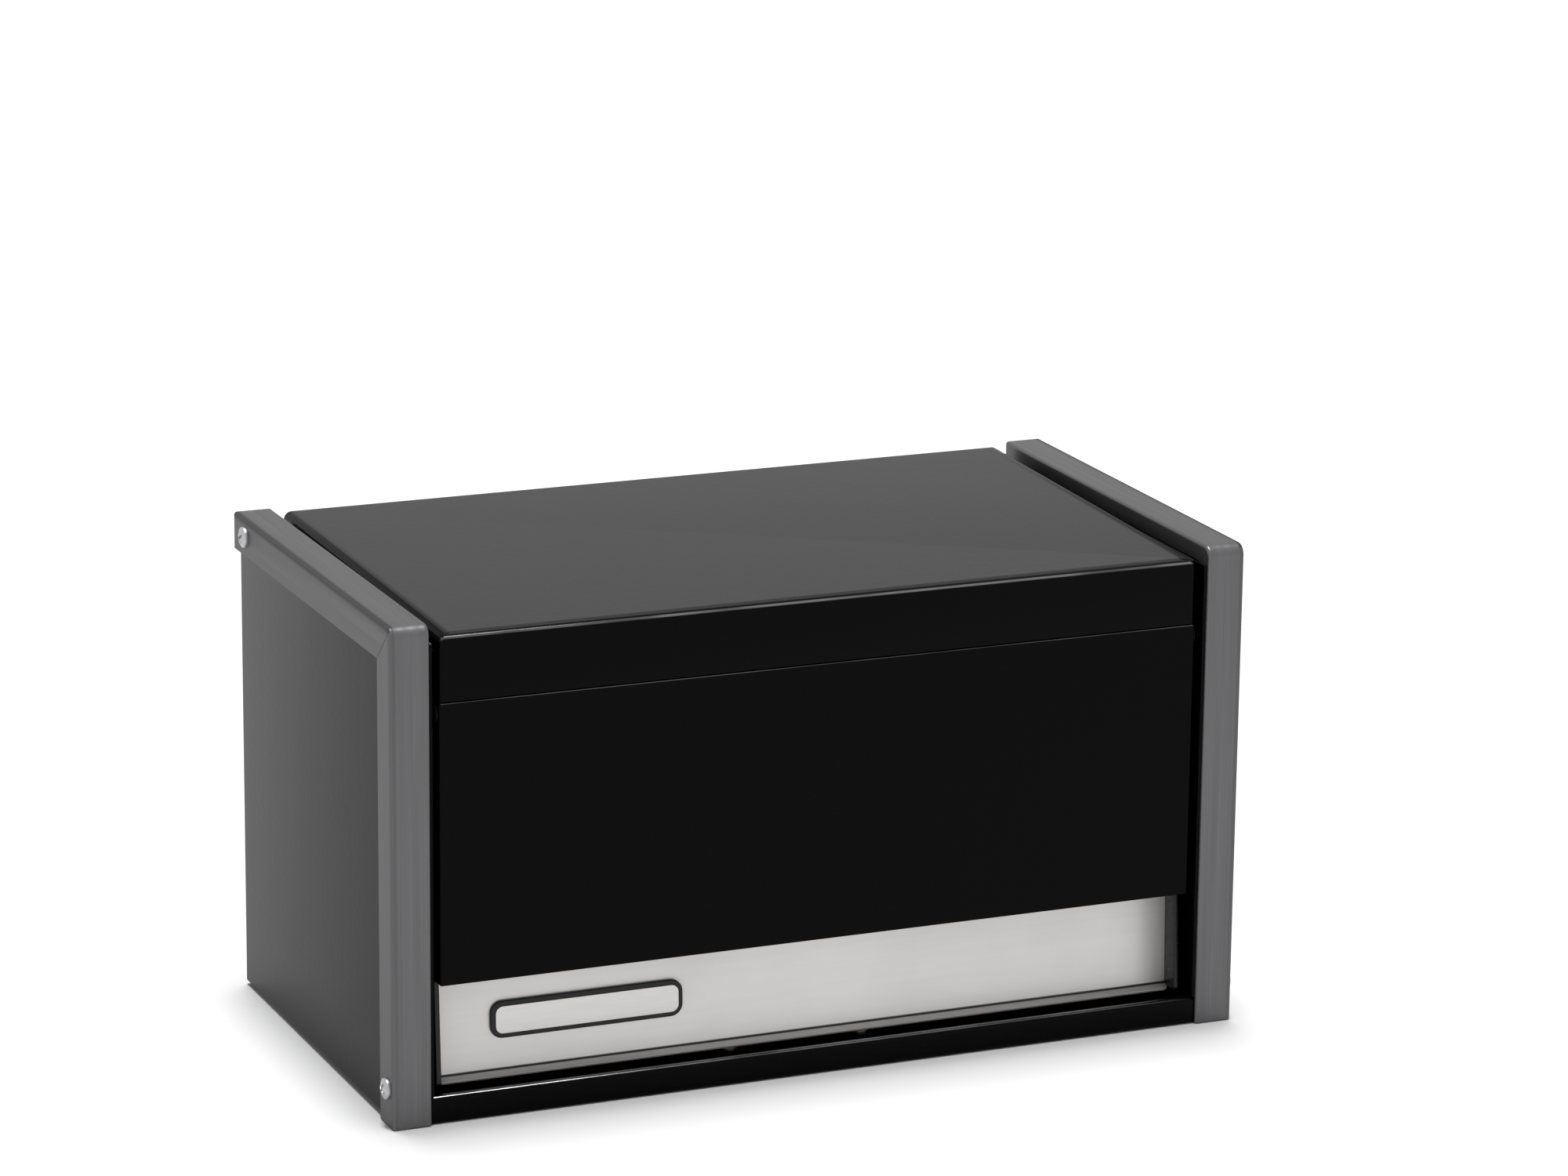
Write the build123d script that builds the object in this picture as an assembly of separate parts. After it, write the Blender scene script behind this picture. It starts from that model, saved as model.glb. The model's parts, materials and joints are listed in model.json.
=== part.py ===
"""A small lift-door tool cabinet in folded sheet steel, seen closed, in millimetres.

The origin is on the bench under the middle of the cabinet. X runs along the width, Y runs
from the door (negative) to the back, and Z runs up. Left pieces are modelled and the right
ones are their mirror images. Depths are measured back from the front plane of the posts.
"""

from build123d import *
from math import atan2, cos, pi, radians, sin, sqrt, tan
import os

# Whole cabinet
case_width = 286.7        # over the outer flanges of the corner trims
case_depth = 152.1        # front plane of the posts to the rear ends of the top rails
case_height = 159.4       # bench to the top of the rails
sheet = 1.0               # painted sheet steel of every folded panel
fold = 0.5                # inside radius of a folded corner
fit = 0.2                 # gap left between neighbouring folded parts
running_fit = 0.05        # radial clearance of every pivot and of the gas springs

# Corner trims, each one channel bent over the front top corner
trim_face = 12.7
trim_outer_flange = 12.0
trim_inner_flange = 6.0
trim_corner = 3.75        # outer radius of the bend over the front top corner
trim_edge = 1.0           # outer radius of the long folds
trim_foot_gap = 0.4       # the posts end this far above the bench
mitre_slit = 0.25         # saw cut left where the flanges meet at the bend

# Trim screws
screw_head_radius = 3.4
screw_head_height = 2.0
screw_shank_radius = 1.7
screw_length = 6.5
screw_hole_clearance = 0.1
low_screw_depth = 5.6
low_screw_height = 12.2
high_screw_back = 11.0    # in front of the rail's rear end
high_screw_drop = 5.8     # below the rail's top

# Side pans, inner walls, back and floor
rail_overhang = 2.6       # the rails run past the back of the case
floor_inset = 3.0         # floor edge, inside the outer flange
sill_height = 9.0
sill_depth = 8.0
upstand = 10.0            # rear edge of the floor, folded up in front of the back
wall_flange = 8.0
back_drop = 5.4           # top of the back panel, below the rails
back_return = 8.0

# Top cover with its header
side_gap = 3.4            # between a post and the door or the cover
cover_setback = 1.8       # header and door face, behind the posts
cover_front_drop = 4.0    # front of the cover, below the rails
cover_rear_drop = 1.0     # back of the cover, below the rails
cover_rear_inset = 0.5
cover_skirt = 10.0        # side and rear flanges, below the rails
cover_radius = 1.5        # outer radius of the cover's folded edges
seam_drop = 25.0          # lower edge of the header, below the rails

# Door
seam_gap = 0.3
door_radius = 1.5         # outer radius of the door's folded edges
door_return = 7.0         # folded-back top edge
door_flange = 11.7        # side flanges, back from the face
hinge_inset = 4.0         # pivot behind the face and below the top edge
pull_height = 34.7        # finger recess, from the lip's edge up to the face's lower edge
pull_depth_top = 12.1     # steel strip behind the door face, at its top
pull_depth_low = 10.9     # and at its bend
pull_sheet = 0.8
pull_fold_rise = 1.6      # bend above the lip's lower edge
lip_depth = 7.4           # edge of the lip, behind the door face
lip_corner = 2.0
lip_clearance = 0.3       # over the sill, at the lowest point of the swing
cap_width = 1.7
cap_depth_top = 6.0       # front edge of an end cap, behind the door face, at its top
cap_depth_low = 3.9
cap_radius = 1.0

# Plain nameplate on the steel strip
plate_width = 64.0
plate_height = 12.0
plate_thickness = 1.6
plate_corner = 4.0
plate_left = 36.0         # from the outer flange to the plate
plate_rise = 10.4         # above the strip's bend
inlay_margin = 1.6
inlay_thickness = 0.4

# Hinge studs and bushes
hinge_pin_radius = 1.5
hinge_pin_reach = 2.0     # past the door flange
stud_base_radius = 3.0
stud_base = 0.8
bush_wall = 0.8
bush_flange_radius = 3.2
bush_flange = 0.8
bush_reach = 1.5          # past the door flange

# Gas springs
arm = 46.0                # hinge pivot to either stud of a gas spring
door_stud_depth = 7.5     # behind the door face
closed_angle = 74.0       # between the two arms with the door shut
open_angle = 90.0
strut_offset = 4.4        # inner face of the door flange to the middle of the gas spring
strut_stud_radius = 1.5
strut_shoulder_radius = 2.5
stud_head_radius = 2.2
stud_head = 0.8
eye_radius = 3.4
eye_width = 4.0
eye_play = 0.1            # each side of an eye
tube_radius = 3.0
tube_wall = 0.5
tube_start = 5.0          # from the case stud to the end of the tube
plug_length = 2.0
mouth_gap = 5.0           # mouth of the shut tube, short of the door stud
gland_length = 2.5
rod_radius = 1.25
piston_length = 2.5
piston_margin = 0.1       # between piston and gland with the door open

# Magnetic catch
catch_width = 36.0
catch_height = 23.0
catch_length = 14.0
catch_foot = 3.0
catch_ear = 9.0
magnet_width = 24.0
magnet_height = 8.0
magnet_depth = 6.0
magnet_rise = 18.0        # middle of the magnet, above the floor
magnet_proud = 0.4
strike_gap = 0.3
strike_margin = 3.0       # strike past the magnet, all round
strike_sheet = 0.8
rivet_radius = 1.6
rivet_head = 0.6
catch_screw_radius = 1.5
catch_screw_head = 2.8

# Planes and edges that the pieces share
half = case_width / 2
front = -case_depth / 2
rear = case_depth / 2
case_back = rear - rail_overhang
panel_inner = half - 2 * sheet
wall_outer = half - trim_face
wall_face = wall_outer - sheet
wall_top = case_height - trim_inner_flange - fit
back_face = case_back - 2 * sheet
door_half = half - trim_face - side_gap
door_face = front + cover_setback
seam = case_height - seam_drop
skirt = case_height - cover_skirt
door_top = seam - seam_gap
flange_face = door_half - sheet

# Hinge pivot, seen from the side
hinge_y = door_face + hinge_inset
hinge_z = door_top - hinge_inset

# Lip of the finger pull, whose swing clears the sill
lip_y = door_face + lip_depth
lip_swing = hinge_z - sill_height - lip_clearance
lip_z = hinge_z - sqrt(lip_swing ** 2 - (lip_y - hinge_y) ** 2)
door_bottom = lip_z + pull_height
strip_top = (door_face + pull_depth_top, door_bottom)
strip_bend = (door_face + pull_depth_low, lip_z + pull_fold_rise)
strip_lean = atan2(strip_top[0] - strip_bend[0], strip_top[1] - strip_bend[1])
strip_back = pull_sheet / cos(strip_lean)

# Studs of the gas springs, both on one circle about the hinge pivot
door_arm_angle = atan2(door_face + door_stud_depth - hinge_y, arm)
door_stud = (hinge_y + arm * sin(door_arm_angle), hinge_z - arm * cos(door_arm_angle))
case_arm_angle = door_arm_angle + radians(closed_angle)
case_stud = (hinge_y + arm * sin(case_arm_angle), hinge_z - arm * cos(case_arm_angle))
strut_x = flange_face - strut_offset
strut_shut = 2 * arm * sin(radians(closed_angle) / 2)
strut_open = 2 * arm * sin(radians(closed_angle + open_angle) / 2)
tube_mouth = strut_shut - mouth_gap
piston_start = strut_open - (tube_mouth - gland_length) + piston_margin


def folded(skin, wall, inner=fold):
    """Outline of a folded sheet: its wall lies to the left of the skin's points."""
    points = [Vector(*point) for point in skin]
    runs = [(b - a).normalized() for a, b in zip(points, points[1:])]
    sides = [Vector(-run.Y, run.X) for run in runs]
    far = [points[0] + sides[0] * wall]
    near_radii = [0]
    far_radii = [0]
    for i in range(1, len(runs)):
        mitre = (sides[i - 1] + sides[i]) / (1 + sides[i - 1].dot(sides[i]))
        far.append(points[i] + mitre * wall)
        turns_left = runs[i - 1].cross(runs[i]).Z > 0
        near_radii.append(inner + wall if turns_left else inner)
        far_radii.append(inner if turns_left else inner + wall)
    far.append(points[-1] + sides[-1] * wall)
    radii = near_radii + [0, 0] + far_radii[::-1]
    return make_face(FilletPolyline(*points, *far[::-1], radius=radii, close=True))


def along_x(face, start, end):
    """A side-view outline (Y, Z) carried from one X to another."""
    return extrude(Plane.YZ.offset(start) * face, end - start)


def along_y(face, start, end):
    """A front-view outline (X, Z) carried from one Y to another."""
    return extrude(Plane.XZ.offset(-end) * face, end - start)


def box_between(low, high):
    """A straight-sided block between two corners, for cuts and flat sheet."""
    size = [b - a for a, b in zip(low, high)]
    return Pos(*low) * Box(*size, align=(Align.MIN, Align.MIN, Align.MIN))


def rod_along_x(radius, start, end, y, z):
    """A round bar parallel to X, through (y, z)."""
    return Pos(start, y, z) * extrude(Plane.YZ * Circle(radius), end - start)


def mirrored(piece):
    return mirror(piece, about=Plane.YZ)


# Corner trims and their screws

def trim_band(depth, inner_radius):
    """Side view of the strip that follows post and rail round the corner."""
    top = case_height
    points = [(front, trim_foot_gap), (front, top), (rear, top), (rear, top - depth),
              (front + depth, top - depth), (front + depth, trim_foot_gap)]
    radii = [0, trim_corner, 0, 0, inner_radius, 0]
    return make_face(FilletPolyline(*points, radius=radii, close=True))


def is_outer_fold(edge, x):
    """True for the edges, straight or bent, that run along the channel at this X."""
    box = edge.bounding_box()
    if abs(box.min.X - x) > 1e-4 or abs(box.max.X - x) > 1e-4:
        return False
    middle = edge @ 0.5
    on_post = abs(middle.Y - front) < 1e-4
    on_rail = abs(middle.Z - case_height) < 1e-4
    on_bend = edge.geom_type == GeomType.CIRCLE and abs(edge.radius - trim_corner) < 1e-4
    return on_post or on_rail or on_bend


def screw_places():
    low = (front + low_screw_depth, low_screw_height)
    high = (rear - high_screw_back, case_height - high_screw_drop)
    return [low, high]


def screw_holes():
    radius = screw_shank_radius + screw_hole_clearance
    return [rod_along_x(radius, -half - 1, -half + 4 * sheet, y, z) for y, z in screw_places()]


def corner_trim():
    """Folded channel, notched and mitred so that it bends over the front top corner."""
    outer = along_x(trim_band(trim_outer_flange, 0), -half, -half + sheet)
    inner = along_x(trim_band(trim_inner_flange, 0), -wall_outer - sheet, -wall_outer)
    face = along_x(trim_band(sheet, trim_corner - sheet), -half, -wall_outer)
    trim = outer + face + inner
    folds = [e for e in trim.edges() if is_outer_fold(e, -half) or is_outer_fold(e, -wall_outer)]
    trim = fillet(folds, trim_edge)
    # The mitre runs on the corner's diagonal, from the flange's inner corner to the bend.
    bend_start = trim_corner * (1 - cos(pi / 4)) + sheet + fold
    reach = (trim_outer_flange - bend_start) * sqrt(2)
    slit = Box(2 * trim_face + 2, reach + 1, mitre_slit, align=(Align.CENTER, Align.MIN, Align.CENTER))
    slit = Pos(-half, front + bend_start, case_height - bend_start) * Rot(X=-45) * slit
    trim -= slit
    # The inner flange stops above the sill, which runs right up to the post.
    trim -= box_between((-wall_outer - sheet - fit, front + sheet, 0),
                        (-wall_outer + 1, front + trim_outer_flange, sill_height + fit))
    return trim - screw_holes()


def trim_screws():
    """Two low pan heads on straight shanks."""
    under = -half
    screws = []
    for y, z in screw_places():
        head = rod_along_x(screw_head_radius, under - screw_head_height, under, y, z)
        head = chamfer(head.edges().sort_by(Axis.X)[0], screw_head_height / 2, screw_head_radius / 2)
        shank = rod_along_x(screw_shank_radius, under, under + screw_length, y, z)
        screws.append((head + shank).solids()[0])
    return Compound(children=screws)


# Side pans, inner walls, back and floor

def side_outline(inset):
    """Side view of a side pan, drawn in by inset on all sides."""
    low = sheet + inset
    high = case_height - sheet - inset
    near = front + sheet + inset
    far = case_back - inset
    radius = max(trim_corner - sheet - inset, 0)
    points = [(near, low), (near, high), (far, high), (far, low)]
    return make_face(FilletPolyline(*points, radius=[0, radius, 0, 0], close=True))


def side_panel():
    """Pan with a rim turned inwards all round, behind the trim."""
    rim_end = -wall_outer - sheet - fit
    pan = along_x(side_outline(0), -half + sheet, rim_end)
    return pan - along_x(side_outline(sheet), -panel_inner, 0) - screw_holes()


def inner_wall():
    """Jamb and liner: a Z-shaped sheet with a plain jamb that stands over the sill."""
    start = front + sheet + sill_depth + fit
    skin = [(-wall_face + wall_flange, 2 * sheet), (-wall_face, 2 * sheet),
            (-wall_face, wall_top), (-half + screw_length + fit, wall_top)]
    wall = along_y(folded(skin, sheet), start, back_face)
    jamb = box_between((-wall_outer, front + sheet, sill_height + fit), (-wall_face, start, wall_top))
    return wall + jamb


def back_panel():
    """Flat back inside the rims of the side pans; between the skirts its top folds forwards."""
    edge = panel_inner - fit
    plate = box_between((-edge, back_face, 2 * sheet + fold), (edge, back_face + sheet, skirt - fit))
    top = case_height - back_drop
    skin = [(back_face + sheet, 2 * sheet), (back_face + sheet, top), (back_face - back_return, top)]
    middle = flange_face - fit
    return plate + along_x(folded(skin, sheet), -middle, middle)


def bottom_pan():
    """Floor in one sheet with the box-shaped sill in front and an upstand behind."""
    near = front + sheet
    sill_back = near + sill_depth
    sill = [(sill_back, sheet + fit), (sill_back, sill_height), (near, sill_height), (near, 0)]
    floor_end = (case_back, 0)
    upstand_foot = (back_face, 0)
    upstand_top = (back_face, sheet + upstand)
    pan = along_x(folded(sill + [floor_end], sheet), -wall_outer, wall_outer)
    tray = wall_face - wall_flange - fit
    pan += along_x(folded(sill + [upstand_foot, upstand_top], sheet), -tray, tray)
    plate = half - floor_inset
    return pan + box_between((-plate, near, 0), (plate, case_back, sheet))


# Top cover

def cover_outline(inset):
    """Side view of the cover and header, drawn in by inset on all but the lower side."""
    near = door_face + inset
    far = rear - cover_rear_inset - inset
    near_top = case_height - cover_front_drop - inset
    far_top = case_height - cover_rear_drop - inset
    return make_face(Polyline((near, seam), (near, near_top), (far, far_top), (far, seam), close=True))


def cover_block(inset, radius):
    block = along_x(cover_outline(inset), -door_half + inset, door_half - inset)
    lower = block.faces().sort_by(Axis.Z)[0].edges()
    rims = [e for e in block.edges() if not any(e.is_same(other) for other in lower)]
    return fillet(rims, radius) if radius else block


def top_cover():
    """Sloping cover with a deep front header and shallow skirts with feet on the walls."""
    cover = cover_block(0, cover_radius) - cover_block(sheet, 0)
    below = box_between((-half, door_face + sheet, 0), (half, rear + 1, skirt))
    cover -= below
    start = door_face + 2 * sheet + cover_radius
    for side in (-1, 1):
        low = min(side * wall_face, side * flange_face)
        high = max(side * wall_face, side * flange_face)
        cover += box_between((low, start, skirt), (high, back_face, skirt + sheet))
    return cover


# Door

def door_panel():
    """Stepped pan: top return, face, undercut and a recessed back for the steel strip."""
    back_top = (strip_top[0] + strip_back, strip_top[1])
    back_low = (strip_bend[0] + strip_back, strip_bend[1])
    skin = [(door_face + door_return, door_top), (door_face, door_top), (door_face, door_bottom),
            back_top, back_low]
    panel = along_x(folded(skin, sheet), -door_half, door_half)
    flange_end = door_face + door_flange
    inset = sheet / 2
    flange = [(door_face + door_radius, door_bottom + inset), (door_face + inset, door_bottom + door_radius),
              (door_face + inset, door_top - door_radius), (door_face + door_radius, door_top - inset),
              (door_face + door_return, door_top - inset), (flange_end, door_top - hinge_inset),
              (flange_end, door_bottom + inset)]
    side = along_x(make_face(Polyline(*flange, close=True)), -door_half, -flange_face)
    hole = rod_along_x(bush_barrel_radius() + running_fit, -door_half - 1, -flange_face + 1,
                       hinge_y, hinge_z)
    side -= hole
    return panel + side + mirrored(side)


def strip_plane(depth):
    """Plane on the leaning strip, facing the front, with its origin at the bend."""
    normal = Vector(0, -cos(strip_lean), sin(strip_lean))
    origin = Vector(0, strip_bend[0], strip_bend[1]) - normal * depth
    return Plane(origin=origin, x_dir=(1, 0, 0), z_dir=normal)


def pull_trim():
    """Brushed steel strip with a lip for the fingers along its lower edge."""
    lip_rise = pull_sheet
    drop = fold + fit
    edge = (strip_top[0] - drop * tan(strip_lean), strip_top[1] - drop)
    skin = [edge, strip_bend, (lip_y, lip_z + lip_rise)]
    end = door_half - cap_width
    strip = along_x(folded(skin, pull_sheet), -end, end)
    corners = [e for e in strip.edges().filter_by(lambda e: e.length < 1.5 * pull_sheet)
               if (e @ 0.5).Y < lip_y + pull_sheet and abs((e @ 0.5).X) > end - 0.01]
    return fillet(corners, lip_corner)


def pull_end_cap():
    """Plate that closes the end of the finger recess."""
    back_top = (strip_top[0] + strip_back, door_bottom)
    back_low = (strip_bend[0] + strip_back, strip_bend[1])
    points = [(door_face + cap_depth_top, door_bottom), back_top, back_low,
              (strip_bend[0], lip_z + pull_sheet), (door_face + cap_depth_low, lip_z + pull_sheet)]
    radii = [0, fold, 0, fold, cap_radius]
    outline = make_face(FilletPolyline(*points, radius=radii, close=True))
    return along_x(outline, -door_half, -door_half + cap_width)


def plate_at(width, height, corner, depth, thickness):
    """Rounded plate on the strip, its middle at the nameplate's place."""
    x = -half + plate_left + plate_width / 2
    y = plate_rise + plate_height / 2
    shape = Pos(x, y) * RectangleRounded(width, height, corner)
    return extrude(strip_plane(0).offset(depth) * shape, thickness)


def nameplate_base():
    base = plate_at(plate_width, plate_height, plate_corner, 0, plate_thickness)
    return chamfer(base.faces().sort_by(Axis.Y)[0].edges(), plate_thickness / 3)


def nameplate_inlay():
    width = plate_width - 2 * inlay_margin
    height = plate_height - 2 * inlay_margin
    corner = plate_corner - inlay_margin
    return plate_at(width, height, corner, plate_thickness, inlay_thickness)


# Hinge

def bush_barrel_radius():
    return hinge_pin_radius + running_fit + bush_wall


def hinge_stud():
    """Shoulder stud welded to the inner wall; the door turns on it."""
    base = rod_along_x(stud_base_radius, -wall_face, -wall_face + stud_base, hinge_y, hinge_z)
    pin = rod_along_x(hinge_pin_radius, -wall_face, -flange_face + hinge_pin_reach, hinge_y, hinge_z)
    return base + pin


def hinge_bush():
    """Flanged plastic bush in the door's side flange."""
    flange = rod_along_x(bush_flange_radius, -door_half - bush_flange, -door_half, hinge_y, hinge_z)
    barrel = rod_along_x(bush_barrel_radius(), -door_half, -flange_face + bush_reach, hinge_y, hinge_z)
    bore = rod_along_x(hinge_pin_radius + running_fit, -half, 0, hinge_y, hinge_z)
    return flange + barrel - bore


# Gas springs

def strut_stud(root, place):
    """Stud welded on at X = root: hexagon shoulder, pin, and a peened head that traps the eye."""
    eye_near = -strut_x - eye_width / 2 - eye_play
    eye_far = -strut_x + eye_width / 2 + eye_play
    hexagon = Plane.YZ * RegularPolygon(strut_shoulder_radius, 6)
    shoulder = Pos(root, *place) * extrude(hexagon, eye_near - root)
    pin = rod_along_x(strut_stud_radius, root, eye_far, *place)
    head = rod_along_x(stud_head_radius, eye_far, eye_far + stud_head, *place)
    return shoulder + pin + head


def strut_place():
    """Frame of a gas spring: X from the case stud to the door stud."""
    direction = Vector(0, door_stud[0] - case_stud[0], door_stud[1] - case_stud[1])
    return Plane(origin=(-strut_x, *case_stud), x_dir=direction, z_dir=(1, 0, 0)).location


def turned(points):
    """Solid turned about the gas spring's own axis, from (along, radius) points."""
    return revolve(make_face(Polyline(*points, close=True)), Axis.X)


def ring(start, end, inner, outer):
    return turned([(start, inner), (end, inner), (end, outer), (start, outer)])


def eye(at):
    """Round eye across the axis, bored for its stud."""
    disc = Circle(eye_radius) - Circle(strut_stud_radius + running_fit)
    return Pos(at, 0, -eye_width / 2) * extrude(disc, eye_width)


def strut_tube_end():
    """Eye whose round shank plugs the end of the tube."""
    plug = tube_radius - tube_wall - running_fit
    near = strut_shoulder_radius + eye_play
    far = tube_start + plug_length
    shank = turned([(near, 0), (far, 0), (far, plug), (near, plug)])
    return strut_place() * (eye(0) + shank)


def strut_tube():
    return strut_place() * ring(tube_start, tube_mouth, tube_radius - tube_wall, tube_radius)


def strut_gland():
    """Guide ring pressed into the mouth of the tube."""
    plug = tube_radius - tube_wall - running_fit
    return strut_place() * ring(tube_mouth - gland_length, tube_mouth, rod_radius + running_fit, plug)


def strut_rod():
    """Rod from the door's eye to the piston at its tip."""
    near = strut_shut - eye_radius
    tip = strut_shut - piston_start
    return strut_place() * turned([(tip, 0), (near, 0), (near, rod_radius), (tip, rod_radius)])


def strut_piston():
    """Disc on the tip of the rod, which slides in the tube."""
    step = strut_shut - piston_start
    outside = tube_radius - tube_wall - running_fit
    disc = [(step - piston_length, 0), (step, 0), (step, outside), (step - piston_length, outside)]
    return strut_place() * turned(disc)


def strut_rod_end():
    """Eye that the rod butts on."""
    return strut_place() * eye(strut_shut)


# Magnetic catch

def catch_plane():
    """Plane of the strike's back, facing the magnet, level with the strip's bend."""
    return strip_plane(pull_sheet + sheet + strike_sheet)


def magnet_height_on_strip():
    return (sheet + magnet_rise - strip_bend[1]) / cos(strip_lean)


def catch_strike():
    """Steel plate on the back of the door."""
    width = magnet_width + 2 * strike_margin + 4 * rivet_radius
    shape = Pos(0, magnet_height_on_strip()) * Rectangle(width, magnet_height + strike_margin)
    return extrude(catch_plane() * shape, strike_sheet)


def strike_rivets():
    """Heads of the two rivets that hold the strike."""
    reach = magnet_width / 2 + strike_margin
    heads = []
    for x in (-reach, reach):
        shape = Pos(x, magnet_height_on_strip()) * Circle(rivet_radius)
        heads.append(extrude(catch_plane() * shape, -rivet_head))
    return Compound(children=[head.solids()[0] for head in heads])


def magnet_block(width, height, start, end):
    """Block square to the leaning strike, from start to end behind it."""
    shape = Pos(0, magnet_height_on_strip()) * Rectangle(width, height)
    return extrude(catch_plane().offset(-end) * shape, end - start)


def catch_magnet():
    """Magnet between two pole plates whose ends stand proud of it."""
    block = magnet_block(magnet_width, magnet_height, strike_gap, strike_gap + magnet_depth)
    core = magnet_block(magnet_width + 1, magnet_height / 2, strike_gap, strike_gap + magnet_proud)
    return block - core


def catch_front():
    """Depth of the catch's front face: behind the magnet's pole ends everywhere."""
    strike_back = pull_depth_top + pull_sheet + sheet + strike_sheet
    return door_face + strike_back + strike_gap + magnet_proud


def catch_screw_places():
    x = catch_width / 2 + catch_ear / 2
    y = catch_front() + catch_length / 2
    return [(-x, y), (x, y)]


def catch_housing():
    """Moulded block with a sloping back and two ears, screwed to the floor."""
    near = catch_front()
    low = sheet
    side = [(near, low), (near, low + catch_height), (near + catch_length / 2, low + catch_height),
            (near + catch_length, low + catch_foot), (near + catch_length, low)]
    outline = make_face(FilletPolyline(*side, radius=[0, fold, 4 * fold, 2 * fold, 0], close=True))
    body = along_x(outline, -catch_width / 2, catch_width / 2)
    base = Pos(0, near + catch_length / 2) * RectangleRounded(
        catch_width + 2 * catch_ear, catch_length, catch_length / 4)
    body += extrude(Plane.XY.offset(low) * base, catch_foot)
    for x, y in catch_screw_places():
        body -= Pos(x, y, 0) * Cylinder(catch_screw_radius + screw_hole_clearance, 4 * catch_foot)
    pocket = magnet_block(magnet_width + fit, magnet_height + fit, -1, strike_gap + magnet_depth)
    return body - pocket


def catch_screws():
    """Two pan-head screws through the ears into the floor."""
    top = sheet + catch_foot
    screws = []
    for x, y in catch_screw_places():
        shank = Pos(x, y, sheet) * extrude(Circle(catch_screw_radius), catch_foot)
        head = Pos(x, y, top) * extrude(Circle(catch_screw_head), catch_screw_radius)
        screws.append((shank + head).solids()[0])
    return Compound(children=screws)


pairs = {
    "corner_trim": corner_trim(),
    "trim_screws": trim_screws(),
    "side_panel": side_panel(),
    "inner_wall": inner_wall(),
    "hinge_stud": hinge_stud(),
    "hinge_bush": hinge_bush(),
    "pull_end_cap": pull_end_cap(),
    "strut_case_stud": strut_stud(-wall_face, case_stud),
    "strut_door_stud": strut_stud(-flange_face, door_stud),
    "strut_tube": strut_tube(),
    "strut_tube_end": strut_tube_end(),
    "strut_gland": strut_gland(),
    "strut_rod": strut_rod(),
    "strut_rod_end": strut_rod_end(),
    "strut_piston": strut_piston(),
}
singles = {
    "bottom_pan": bottom_pan(),
    "back_panel": back_panel(),
    "top_cover": top_cover(),
    "catch_housing": catch_housing(),
    "catch_magnet": catch_magnet(),
    "catch_screws": catch_screws(),
    "door_panel": door_panel(),
    "pull_trim": pull_trim(),
    "nameplate_base": nameplate_base(),
    "nameplate_inlay": nameplate_inlay(),
    "catch_strike": catch_strike(),
    "strike_rivets": strike_rivets(),
}

os.makedirs("parts", exist_ok=True)
for name, piece in singles.items():
    export_step(piece, f"parts/{name}.step")
for name, piece in pairs.items():
    export_step(piece, f"parts/{name}_left.step")
    export_step(mirrored(piece), f"parts/{name}_right.step")
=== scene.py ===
"""A small lift-door tool cabinet in black enamelled sheet steel with grey corner trims.

Metres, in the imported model's own frame: the origin is on the bench under the middle of the
cabinet, X runs along its width, Y from the door to the back, and Z up. Each section makes one
piece, or one group of like pieces, in the order in which the cabinet goes together.
"""

import json
import bmesh
import bpy
import numpy as np
from mathutils import Matrix, Vector


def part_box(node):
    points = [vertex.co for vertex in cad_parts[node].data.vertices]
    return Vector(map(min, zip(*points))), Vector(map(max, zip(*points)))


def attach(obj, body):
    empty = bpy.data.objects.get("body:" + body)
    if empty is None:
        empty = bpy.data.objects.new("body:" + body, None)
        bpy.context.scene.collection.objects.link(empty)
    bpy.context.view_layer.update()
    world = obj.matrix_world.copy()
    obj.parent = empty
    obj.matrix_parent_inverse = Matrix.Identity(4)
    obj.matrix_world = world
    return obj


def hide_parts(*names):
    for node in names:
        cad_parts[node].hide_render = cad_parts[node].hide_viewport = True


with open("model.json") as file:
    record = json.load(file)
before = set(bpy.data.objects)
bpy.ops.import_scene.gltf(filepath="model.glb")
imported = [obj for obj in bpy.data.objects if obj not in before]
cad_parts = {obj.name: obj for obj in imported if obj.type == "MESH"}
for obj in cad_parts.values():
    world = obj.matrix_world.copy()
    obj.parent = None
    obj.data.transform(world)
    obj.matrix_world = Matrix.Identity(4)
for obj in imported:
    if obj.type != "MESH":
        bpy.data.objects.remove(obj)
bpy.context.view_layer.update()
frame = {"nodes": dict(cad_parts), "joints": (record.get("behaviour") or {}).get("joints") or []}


# Floor and sill. One black enamelled sheet: the sill is a box fold along its front edge, its top
# falling slightly inwards, and a low upstand closes the floor in front of the back panel.

sheet = 0.001
sill_depth = 0.008
sill_height = 0.009
sill_foot = 0.0012
sill_fall = 0.0016
sill_flat = 0.00195
tray_start = 0.02
sill_bend = 0.0015
tray_margin = 0.0102
cut_edge = 0.00012

floor_low, floor_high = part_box("bottom_pan")
trim_low, trim_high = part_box("corner_trim_left")
front, rear = trim_low.y, trim_high.y
half = -trim_low.x
wall_outer = -trim_high.x


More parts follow.
